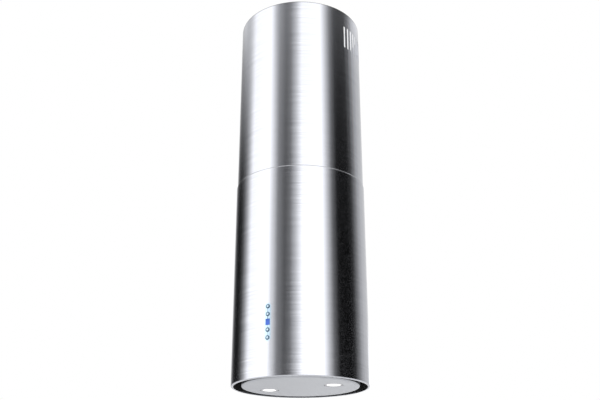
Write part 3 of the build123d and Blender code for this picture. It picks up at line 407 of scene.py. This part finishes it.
def grainedFinish(look):
    finish, tree, shader = newFinish(look["name"], look["pale"], look.get("metallic", 0.0), look.get("roughness", 0.5))
    pattern = grain(tree, look["grain"], look.get("stretch", (1, 1, 1)), look.get("detail", 3.0))
    colour = rampNode(tree, pattern, list(zip(look["spread"], (look["dark"], look["pale"]))))
    plug(tree, colour, shader.inputs["Base Color"])
    if "gloss" in look:
        plug(tree, remap(tree, pattern, *look["gloss"]), shader.inputs["Roughness"])
    if "bump" in look:
        addBump(tree, shader, pattern, *look["bump"])
    return finish


satin = {
    "dark": (0.585, 0.602, 0.640),
    "pale": (0.705, 0.722, 0.765),
    "speck": 900.0,
    "cloud": 18.0,
    "gloss": (0.34, 0.42),
    "bump": (0.15, 0.0002),
}


def satinPanelSteel():
    finish, tree, shader = newFinish("satinPanelSteel", satin["pale"], 1.0)
    speck = grain(tree, satin["speck"])
    plug(tree, rampNode(tree, speck, [(0.3, satin["dark"]), (0.7, satin["pale"])]), shader.inputs["Base Color"])
    cloud = grain(tree, satin["cloud"], detail=2.0)
    plug(tree, remap(tree, cloud, *satin["gloss"]), shader.inputs["Roughness"])
    addBump(tree, shader, speck, *satin["bump"])
    return finish


galvanised = {
    "dark": (0.40, 0.42, 0.44),
    "pale": (0.60, 0.62, 0.64),
    "crystals": 90.0,
    "gloss": (0.33, 0.50),
    "unevenness": 300.0,
    "bump": (0.06, 0.0003),
}


def galvanisedSheet():
    finish, tree, shader = newFinish("galvanisedSheet", galvanised["pale"], 1.0)
    crystals = addNode(tree, "ShaderNodeTexVoronoi", feature="F1", inputs={"Scale": galvanised["crystals"]})
    plug(tree, objectPlace(tree), crystals.inputs["Vector"])
    spangle = mathNode(tree, "FRACT", mathNode(tree, "MULTIPLY", crystals.outputs["Color"], 3.0))
    colour = rampNode(tree, spangle, [(0.0, galvanised["dark"]), (1.0, galvanised["pale"])])
    plug(tree, colour, shader.inputs["Base Color"])
    plug(tree, remap(tree, spangle, *galvanised["gloss"]), shader.inputs["Roughness"])
    addBump(tree, shader, grain(tree, galvanised["unevenness"]), *galvanised["bump"])
    return finish


lamination = {
    "dark": (0.25, 0.25, 0.26),
    "pale": (0.48, 0.48, 0.49),
    "roughness": 0.35,
    "sheets": 320.0,
    "waver": 0.3,
    "bump": (0.15, 0.0002),
}


def laminationSteel():
    finish, tree, shader = newFinish("laminationSteel", lamination["pale"], 1.0, lamination["roughness"])
    pattern = {"Scale": lamination["sheets"], "Distortion": lamination["waver"]}
    sheets = addNode(tree, "ShaderNodeTexWave", wave_type="BANDS", bands_direction="X", inputs=pattern)
    plug(tree, objectPlace(tree), sheets.inputs["Vector"])
    colour = rampNode(tree, sheets.outputs["Fac"], [(0.2, lamination["dark"]), (0.8, lamination["pale"])])
    plug(tree, colour, shader.inputs["Base Color"])
    addBump(tree, shader, sheets.outputs["Fac"], *lamination["bump"])
    return finish


frosted = {
    "colour": (0.92, 0.93, 0.95),
    "dark": (0.96, 0.95, 0.93),
    "pale": (1.0, 1.0, 1.0),
    "strength": 1.15,
    "grain": 700.0,
    "gloss": (0.28, 0.45),
    "bump": (0.15, 0.0002),
}


def frostedLens():
    finish, tree, shader = newFinish("frostedLens", frosted["colour"])
    frost = grain(tree, frosted["grain"])
    plug(tree, remap(tree, frost, *frosted["gloss"]), shader.inputs["Roughness"])
    addBump(tree, shader, frost, *frosted["bump"])
    light = rampNode(tree, frost, [(0.3, frosted["dark"]), (0.7, frosted["pale"])])
    plug(tree, light, shader.inputs["Emission Color"])
    shader.inputs["Emission Strength"].default_value = frosted["strength"]
    return finish


slate = (0.091, 0.171, 0.262)
paleCyan = (0.70, 0.90, 1.00)
guideLight = {
    "strength": 0.5,
    "roughness": 0.3,
    "overhang": 0.006,  # past the middles of the outer buttons
    "haze": 900.0,
    # colour by height, from the lowest button to the highest
    "stops": [
        (0.00, slate), (0.13, slate), (0.145, paleCyan), (0.205, paleCyan), (0.22, slate), (0.347, slate),
        (0.36, paleCyan), (0.402, paleCyan), (0.414, (0.10, 0.26, 0.62)), (0.586, (0.08, 0.22, 0.50)),
        (0.60, (0.05, 0.11, 0.19)), (0.645, (0.05, 0.11, 0.19)), (0.66, slate), (0.778, slate),
        (0.80, (0.26, 0.35, 0.515)), (0.86, (0.26, 0.35, 0.515)), (0.875, slate), (1.0, slate),
    ],
}


def heightShare(tree, low, high):
    up = splitPlace(tree, "Object")[2]
    return mathNode(tree, "DIVIDE", mathNode(tree, "SUBTRACT", up, low), high - low)


def litGuide():
    finish, tree, shader = newFinish("litGuide", slate, 0.0, guideLight["roughness"])
    over = guideLight["overhang"]
    colour = rampNode(tree, heightShare(tree, columnBottom.z - over, columnTop.z + over), guideLight["stops"])
    haze = rampNode(tree, grain(tree, guideLight["haze"]), [(0.3, 0.80), (0.7, 1.0)])
    shade = mixColours(tree, 1.0, colour, haze, "MULTIPLY")
    plug(tree, mixColours(tree, 0.5, shade, (0, 0, 0)), shader.inputs["Base Color"])
    plug(tree, shade, shader.inputs["Emission Color"])
    shader.inputs["Emission Strength"].default_value = guideLight["strength"]
    return finish


display = {
    "colour": (0.03, 0.08, 0.35),
    "stops": [(0.0, (0.055, 0.15, 0.62)), (0.60, (0.050, 0.15, 0.60)), (0.85, (0.028, 0.105, 0.42))],
    "roughness": 0.12,
    "strength": 0.8,
    "dots": 1400.0,
}


def displayGlass():
    finish, tree, shader = newFinish("displayGlass", display["colour"], 0.0, display["roughness"])
    low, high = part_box("display_window")
    colour = rampNode(tree, heightShare(tree, low[2], high[2]), display["stops"])
    dots = addNode(tree, "ShaderNodeTexVoronoi", inputs={"Scale": display["dots"], "Randomness": 0.0})
    plug(tree, objectPlace(tree), dots.inputs["Vector"])
    cells = rampNode(tree, dots.outputs["Distance"], [(0.1, 1.0), (0.7, 0.72)])
    plug(tree, mixColours(tree, 1.0, colour, cells, "MULTIPLY"), shader.inputs["Emission Color"])
    shader.inputs["Emission Strength"].default_value = display["strength"]
    return finish


polished = {
    "dark": (0.56, 0.72, 0.84),
    "pale": (0.66, 0.82, 0.92),
    "metallic": 0.5,
    "swirl": 1600.0,
    "gloss": (0.16, 0.30),
    "strength": 0.35,
}


# pale button face with a painted glow: its emission stands in for the blue light it reflects
def buttonFacePaintedGlow():
    finish, tree, shader = newFinish("buttonFacePaintedGlow", polished["pale"], polished["metallic"])
    swirl = grain(tree, polished["swirl"])
    plug(tree, remap(tree, swirl, *polished["gloss"]), shader.inputs["Roughness"])
    shade = rampNode(tree, swirl, [(0.3, polished["dark"]), (0.7, polished["pale"])])
    plug(tree, shade, shader.inputs["Base Color"])
    plug(tree, shade, shader.inputs["Emission Color"])
    shader.inputs["Emission Strength"].default_value = polished["strength"]
    return finish


bevelShadingLook = {
    "dark": (0.045, 0.095, 0.160),
    "pale": (0.34, 0.50, 0.62),
    "towards": (-0.65, -0.25, 0.72),  # painted light: paler where it faces this way, painted shade where it faces away
    "metallic": 0.3,
    "roughness": 0.30,
    "cloud": 900.0,
    "cloudShare": 0.2,
    "strength": 0.5,
}


# slate bevel with painted light and shade by which way it faces, and a painted glow from its emission
def slateBevelPaintedShading():
    finish, tree, shader = newFinish("slateBevelPaintedShading", slate, bevelShadingLook["metallic"], bevelShadingLook["roughness"])
    facing = addNode(tree, "ShaderNodeVectorMath", operation="DOT_PRODUCT", inputs={1: bevelShadingLook["towards"]})
    plug(tree, addNode(tree, "ShaderNodeNewGeometry").outputs["Normal"], facing.inputs[0])
    cloud = grain(tree, bevelShadingLook["cloud"])
    cloud = mathNode(tree, "MULTIPLY_ADD", cloud, bevelShadingLook["cloudShare"], facing.outputs["Value"])
    span = remap(tree, mathNode(tree, "ADD", cloud, 0.3), 0.0, 1.0)
    shade = rampNode(tree, span, [(0.0, bevelShadingLook["dark"]), (0.45, slate), (1.0, bevelShadingLook["pale"])])
    plug(tree, mixColours(tree, 0.5, shade, (0, 0, 0)), shader.inputs["Base Color"])
    plug(tree, shade, shader.inputs["Emission Color"])
    shader.inputs["Emission Strength"].default_value = bevelShadingLook["strength"]
    return finish


boardLook = {
    "Scale": 260.0,
    "Mortar Size": 0.03,
    "Color1": (0.01, 0.13, 0.045, 1),
    "Color2": (0.01, 0.11, 0.04, 1),
    "Mortar": (0.02, 0.19, 0.07, 1),
}


def solderMask():
    finish, tree, shader = newFinish("solderMask", (0.01, 0.12, 0.04), 0.0, 0.35)
    weave = addNode(tree, "ShaderNodeTexBrick", inputs=boardLook)
    plug(tree, objectPlace(tree), weave.inputs["Vector"])
    plug(tree, weave.outputs["Color"], shader.inputs["Base Color"])
    return finish


finishes = {
    "sleeve_steel": brushedSteel("brushedSteel", "upper_sleeve"),
    "body_steel": brushedSteel("brushedBodySteel", "lower_sleeve"),
    "panel_steel": satinPanelSteel(),
    "galvanised_steel": galvanisedSheet(),
    "motor_steel": laminationSteel(),
    "lamp_lens": frostedLens(),
    "light_guide": litGuide(),
    "display_glass": displayGlass(),
    "button_steel": buttonFacePaintedGlow(),
    "button_bevel": slateBevelPaintedShading(),
    "board": solderMask(),
}
for slotName, look in grained.items():
    finishes[slotName] = grainedFinish(look)

for part in frame["record"]["subparts"]:
    slotName = "body_steel" if part["node"] == "lower_sleeve" else part["material_slot"]
    for place in nodes[part["node"]].material_slots:
        place.material = finishes[slotName]
print("finishes on", len(nodes), "nodes")


# one piece of the hood from a finished builder; edges sharper than this stay sharp
creaseAngle = 32


def shapePiece(name, builder, body, finishNames, replaced):
    for edge in builder.edges:
        if len(edge.link_faces) == 2 and edge.calc_face_angle() > radians(creaseAngle):
            edge.smooth = False
    for face in builder.faces:
        face.smooth = True
    mesh = bpy.data.meshes.new(name)
    builder.to_mesh(mesh)
    builder.free()
    for finishName in finishNames:
        mesh.materials.append(finishes[finishName])
    piece = bpy.data.objects.new(name, mesh)
    bpy.context.collection.objects.link(piece)
    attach(piece, body)
    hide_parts(replaced)


# turns (radius, height, material) points round place's own Z; a point's material covers the band up to it
def lathe(builder, outline, place, steps=64):
    rings = []
    for radius, height, material in outline:
        count = steps if radius > 0 else 1
        turns = [2 * pi * n / count for n in range(count)]
        spots = [(radius * cos(turn), radius * sin(turn), height) for turn in turns]
        rings.append([builder.verts.new(place @ Vector(spot)) for spot in spots])
    for below, above, (radius, height, material) in zip(rings, rings[1:], outline[1:]):
        for n in range(steps):
            lower = [below[n % len(below)], below[(n + 1) % len(below)]]
            upper = [above[(n + 1) % len(above)], above[n % len(above)]]
            face = builder.faces.new(list(dict.fromkeys(lower + upper)))
            face.material_index = material


def bar(builder, place, size, material):
    made = bmesh.ops.create_cube(builder, size=1.0, matrix=place @ Matrix.Diagonal((*size, 1)))
    for face in {face for vert in made["verts"] for face in vert.link_faces}:
        face.material_index = material


button = {
    "rim": 0.0041,
    "bevel": 0.0026,  # radius of the pale face inside the dark bevel
    "sunk": 0.0002,  # the pale face sits this far behind the front
    "round": [(0.0, 0.0014), (0.0001, 0.0010), (0.0003, 0.0007), (0.0006, 0.00042), (0.0010, 0.00018)],
    "collar": 0.0057,
    "collarThick": 0.001,
    "collarBack": 0.0052,
    "stem": 0.0018,
    "back": 0.0088,
    "iconLine": 0.00034,
    "iconSize": 0.0013,
    "iconThick": 0.00008,
}


# centre, half length and angle in degrees of each bar of a small sign
def iconBars(kind):
    size = button["iconSize"]
    if kind == "plus":
        return [((0, 0), size, 0), ((0, 0), size, 90)]
    if kind == "minus":
        return [((0, 0), size, 0)]
    if kind == "power":
        angles = range(-130, 131, 26)
        arc = [((sin(radians(a)) * size, -cos(radians(a)) * size), size * 0.29, a) for a in angles]
        return arc + [((0, size * 0.75), size * 0.5, 90)]
    reach = size * 0.8
    angles = range(0, 360, 45)
    rays = [((sin(radians(a)) * reach, cos(radians(a)) * reach), size * 0.24, 90 - a) for a in angles]
    return rays + [((0, 0), size * 0.30, a) for a in (0, 45, 90, 135)]


def makeButton(kind):
    node = "button_" + kind
    low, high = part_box(node)
    front = Vector(((low[0] + high[0]) / 2, low[1], (low[2] + high[2]) / 2))
    place = Matrix.Translation(front) @ Matrix.Rotation(radians(90), 4, "X")
    rim, bevel, sunk, back = [button[key] for key in ("rim", "bevel", "sunk", "back")]
    collarBack = -button["collarBack"]
    collarFront = collarBack + button["collarThick"]
    outline = [(0, -back, 1), (button["stem"], -back, 1), (button["stem"], collarBack, 1)]
    outline += [(button["collar"], collarBack, 1), (button["collar"], collarFront, 1), (rim, collarFront, 1)]
    outline += [(rim - inset, -behind, 1) for inset, behind in button["round"]]
    outline += [(bevel, 0.0, 1), (bevel - sunk, -sunk, 1), (0, -sunk, 0)]
    builder = bmesh.new()
    lathe(builder, outline, place)
    for (x, y), half, angle in iconBars(kind):
        turned = place @ Matrix.Translation((x, y, -sunk)) @ Matrix.Rotation(radians(angle), 4, "Z")
        bar(builder, turned, (2 * half, button["iconLine"], button["iconThick"]), 1)
    shapePiece("buttonCap_" + kind, builder, kind + "_button", ["button_steel", "button_bevel"], node)


lamp = {
    "flange": 0.0270,
    "flangeBottom": 0.0010,
    "flangeTop": 0.0025,
    "bezel": 0.0226,
    "barrel": 0.0211,
    "round": 0.0006,
    "lens": 0.0168,
    "lensGap": 0.0001,
    "seat": 0.0023,  # depth of the lens's seat
    "lift": 0.0003,  # lens face above the rim's plane
    "top": 0.0230,
    "fins": 4,
    "finPitch": 0.0040,
    "finGap": 0.0020,
    "finDepth": 0.0030,
    "ribStart": 0.004,  # the lens is ribbed in fine steps round a plain middle
    "ribPitch": 0.0014,
    "ribHeight": 0.00018,
}


def lampOutline():
    soft, bezel, flange, barrel = [lamp[key] for key in ("round", "bezel", "flange", "barrel")]
    seat, inner, flangeTop = lamp["seat"], lamp["lens"] + lamp["lensGap"], lamp["flangeTop"]
    outline = [(0, seat, 0), (inner, seat, 0), (inner, 0.0008, 0), (inner + 0.0008, 0.0, 0)]
    outline += [(bezel - soft + soft * sin(radians(a)), soft - soft * cos(radians(a)), 0) for a in range(0, 91, 15)]
    outline += [(bezel, lamp["flangeBottom"], 0), (flange, lamp["flangeBottom"], 1)]  # a gasket shows in the groove
    outline += [(flange, flangeTop, 0), (barrel, flangeTop, 0)]
    core = barrel - lamp["finDepth"]
    for n in range(lamp["fins"]):
        bottom = flangeTop + lamp["finPitch"] * (n + 1)
        gapTop = bottom + lamp["finGap"]
        outline += [(barrel, bottom, 0), (core, bottom, 0), (core, gapTop, 0), (barrel, gapTop, 0)]
    return outline + [(barrel, lamp["top"], 0), (0, lamp["top"], 0)]


def lensOutline():
    lens, lift, pitch = lamp["lens"], lamp["lift"], lamp["ribPitch"]
    outline = [(0, lift, 0)]
    radius = lamp["ribStart"]
    while radius < lens - 0.0012:
        outline += [(radius, lift, 0), (radius + 0.0005, lift + lamp["ribHeight"], 0), (radius + 0.001, lift, 0)]
        radius += pitch
    return outline + [(lens - 0.0002, lift, 0), (lens, lift + 0.0002, 0), (lens, lift + 0.002, 0), (0, lift + 0.002, 0)]


def makeLamp(side):
    housing = "lamp_housing_" + side
    low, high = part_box(housing)
    place = Matrix.Translation(((low[0] + high[0]) / 2, (low[1] + high[1]) / 2, low[2]))
    builder = bmesh.new()
    lathe(builder, lampOutline(), place, 96)
    shapePiece("lampBody_" + side, builder, "panel", ["lamp_aluminium", "rubber"], housing)
    builder = bmesh.new()
    lathe(builder, lensOutline(), place, 96)
    shapePiece("lampLens_" + side, builder, "panel", ["lamp_lens"], "lamp_lens_" + side)


# layers of expanded sheet, each a lattice of slanted strands, turned a little from layer to layer
greaseFilter = {
    "cellWide": 0.0090,
    "cellDeep": 0.0045,
    "strand": 0.0009,
    "thick": 0.0006,
    "layers": 3,
    "turn": 37,
    "inset": 0.0005,
    "skin": 0.0008,
}


def addStrand(builder, turned, start, end, lean):
    along = (end - start).normalized()
    aside = Vector((-along.y, along.x, 0)) * greaseFilter["strand"] / 2
    rise = Vector((0, 0, greaseFilter["thick"] / 2 * lean))
    half = Vector((0, 0, greaseFilter["thick"] / 2))
    corners = [start - aside - rise, start + aside - rise, end + aside + rise, end - aside + rise]
    under = [builder.verts.new(turned @ (corner - half)) for corner in corners]
    over = [builder.verts.new(turned @ (corner + half)) for corner in corners]
    builder.faces.new(under[::-1])
    builder.faces.new(over)
    for n in (0, 2):
        builder.faces.new([under[n], under[n + 1], over[n + 1], over[n]])


def makeFilterMesh():
    low, high = (Vector(corner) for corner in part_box("filter_mesh"))
    centre = (low + high) / 2
    reach = (high.x - low.x) / 2 - greaseFilter["inset"]
    wide, deep, skin = [greaseFilter[key] for key in ("cellWide", "cellDeep", "skin")]
    rows, columns = 2 * int(reach / deep) + 2, int(reach / wide) + 2
    builder = bmesh.new()
    for layer in range(greaseFilter["layers"]):
        level = low.z + skin + layer * (high.z - low.z - 2 * skin) / (greaseFilter["layers"] - 1)
        turned = Matrix.Rotation(radians(greaseFilter["turn"] * layer), 4, "Z")
        turned = Matrix.Translation((centre.x, centre.y, level)) @ turned
        for row in range(-rows, rows + 1):
            for column in range(-columns, columns + 1):
                start = Vector((column * wide + (row % 2) * wide / 2, row * deep / 2, 0))
                for lean in (1, -1):
                    end = start + Vector((wide / 2 * lean, deep / 2, 0))
                    if max(start.length, end.length) <= reach:
                        addStrand(builder, turned, start, end, lean)
    shapePiece("filterLayers", builder, "hood_body", ["filter_aluminium"], "filter_mesh")


for kind in ("power", "plus", "minus", "light"):
    makeButton(kind)
for side in ("left", "right"):
    makeLamp(side)
makeFilterMesh()
print("finer pieces made")

print("done")
